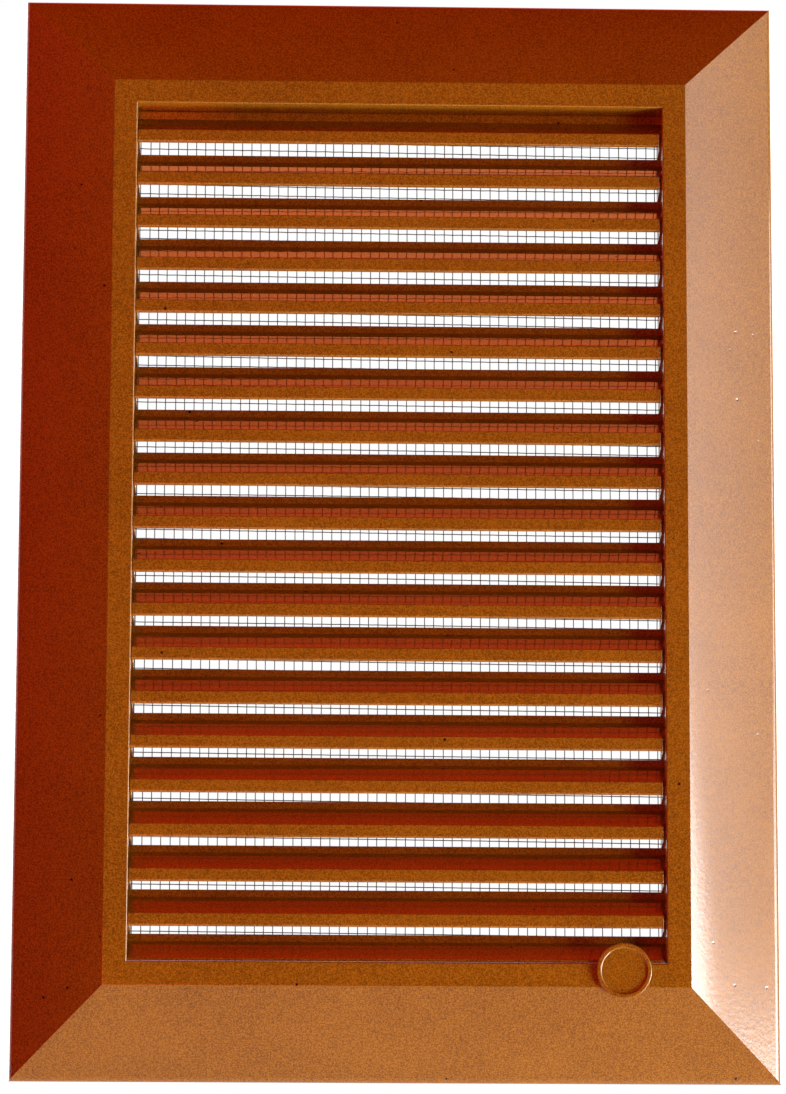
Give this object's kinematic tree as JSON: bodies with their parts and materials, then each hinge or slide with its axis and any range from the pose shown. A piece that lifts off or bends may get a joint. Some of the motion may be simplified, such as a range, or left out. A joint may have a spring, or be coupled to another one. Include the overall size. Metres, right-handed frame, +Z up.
{
  "type": "louvre vent",
  "caption": "Rectangular moulded wall vent with a wide sloping border, fixed rain-shedding blades, an insect screen and a collar for a 140 x 210 mm wall opening.",
  "frame": {"origin": "centre of the wall opening that the vent covers, in the plane of the wall", "axes": "+Z up as mounted, +Y into the wall, so the front faces -Y, +X to the right seen from the front"},
  "size_m": [0.16, 0.0267, 0.23],
  "materials": {
    "brown_plastic": "glossy moulded brown plastic",
    "dark_wire": "dark coated mesh strand, semi-matt"
  },
  "bodies": {
    "root": {"front_frame": "brown_plastic", "louvre_blade_01": "brown_plastic", "louvre_blade_02": "brown_plastic", "louvre_blade_03": "brown_plastic", "louvre_blade_04": "brown_plastic", "louvre_blade_05": "brown_plastic", "louvre_blade_06": "brown_plastic", "louvre_blade_07": "brown_plastic", "louvre_blade_08": "brown_plastic", "louvre_blade_09": "brown_plastic", "louvre_blade_10": "brown_plastic", "louvre_blade_11": "brown_plastic", "louvre_blade_12": "brown_plastic", "louvre_blade_13": "brown_plastic", "louvre_blade_14": "brown_plastic", "louvre_blade_15": "brown_plastic", "louvre_blade_16": "brown_plastic", "louvre_blade_17": "brown_plastic", "louvre_blade_18": "brown_plastic", "louvre_blade_19": "brown_plastic", "sill_blade": "brown_plastic", "blade_carrier_left": "brown_plastic", "blade_carrier_right": "brown_plastic", "insect_screen": "dark_wire", "screen_frame": "brown_plastic", "round_disc": "brown_plastic"}
  },
  "joints": []
}
